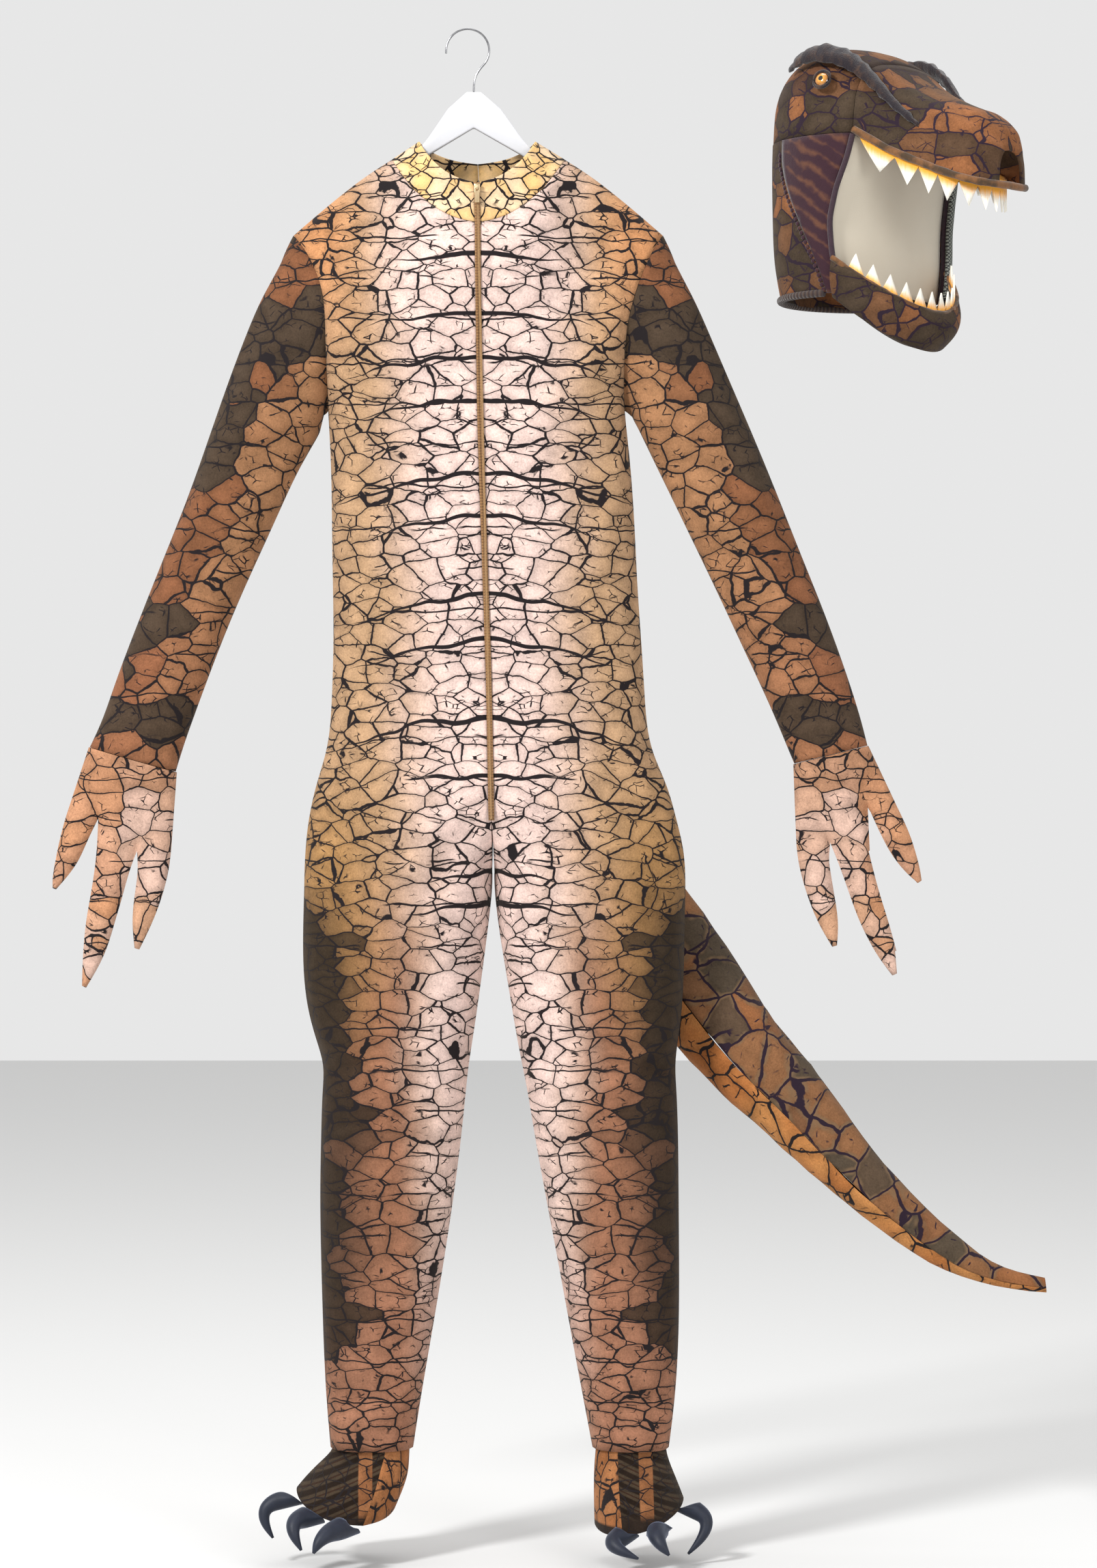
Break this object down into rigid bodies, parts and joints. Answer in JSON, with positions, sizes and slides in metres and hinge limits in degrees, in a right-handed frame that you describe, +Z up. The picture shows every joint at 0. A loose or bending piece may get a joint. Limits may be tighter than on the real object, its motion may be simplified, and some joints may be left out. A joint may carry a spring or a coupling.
{
  "type": "hanging dinosaur costume with mask",
  "caption": "Dinosaur jumpsuit with gloves, clawed foot covers and stuffed tail on a flat hanger, beside its open-jawed head mask.",
  "frame": {"origin": "top of the hanger hook's inside, where a rail bears", "axes": "+X to the viewer's right facing the suit's front, +Y to the back of the suit, +Z up"},
  "size_m": [1.1348, 0.3144, 1.7297],
  "materials": {
    "belly velour": "matte",
    "back velour": "matte",
    "sleeve velour": "matte",
    "collar velour": "matte",
    "glove velour": "matte",
    "tail velour": "matte",
    "orange velour": "matte",
    "striped foot cloth": "matte",
    "claw satin": "satin",
    "head velour": "matte",
    "cheek suede": "matte",
    "face mesh": "open weave",
    "tooth felt": "matte",
    "eye": "glossy",
    "zip tape": "matte",
    "zip metal": "satin",
    "hanger plastic": "satin",
    "hook wire": "polished"
  },
  "bodies": {
    "root": {"back_left": "back velour", "back_right": "back velour", "collar_left": "collar velour", "collar_right": "collar velour", "foot_left_claw_1": "claw satin", "foot_left_claw_2": "claw satin", "foot_left_claw_3": "claw satin", "foot_left_heel": "orange velour", "foot_left_instep": "striped foot cloth", "foot_right_claw_1": "claw satin", "foot_right_claw_2": "claw satin", "foot_right_claw_3": "claw satin", "foot_right_heel": "orange velour", "foot_right_instep": "striped foot cloth", "front_left": "belly velour", "front_right": "belly velour", "glove_left_back": "sleeve velour", "glove_left_palm": "glove velour", "glove_right_back": "sleeve velour", "glove_right_palm": "glove velour", "hanger_body": "hanger plastic", "hanger_hook": "hook wire", "head_back": "head velour", "head_brow_left": "head velour", "head_brow_right": "head velour", "head_cheek_left": "cheek suede", "head_cheek_right": "cheek suede", "head_crown": "head velour", "head_eye_left": "eye", "head_eye_right": "eye", "head_face_mesh": "face mesh", "head_jaw": "head velour", "head_snout": "head velour", "head_teeth_lower": "tooth felt", "head_teeth_upper": "tooth felt", "sleeve_left": "sleeve velour", "sleeve_right": "sleeve velour", "tail_belly": "orange velour", "tail_top": "tail velour", "zip_slider": "zip metal", "zip_tape_left": "zip tape", "zip_tape_right": "zip tape"},
    "zip_pull": {"zip_tab": "zip metal"}
  },
  "joints": [
    {"name": "zip_tab_swing", "type": "hinge", "parent": "root", "child": "zip_pull", "pos_m": [0.01163, -0.06158, -0.188], "axis": [-1, 0, 0], "range_deg": [0, 150]}
  ]
}
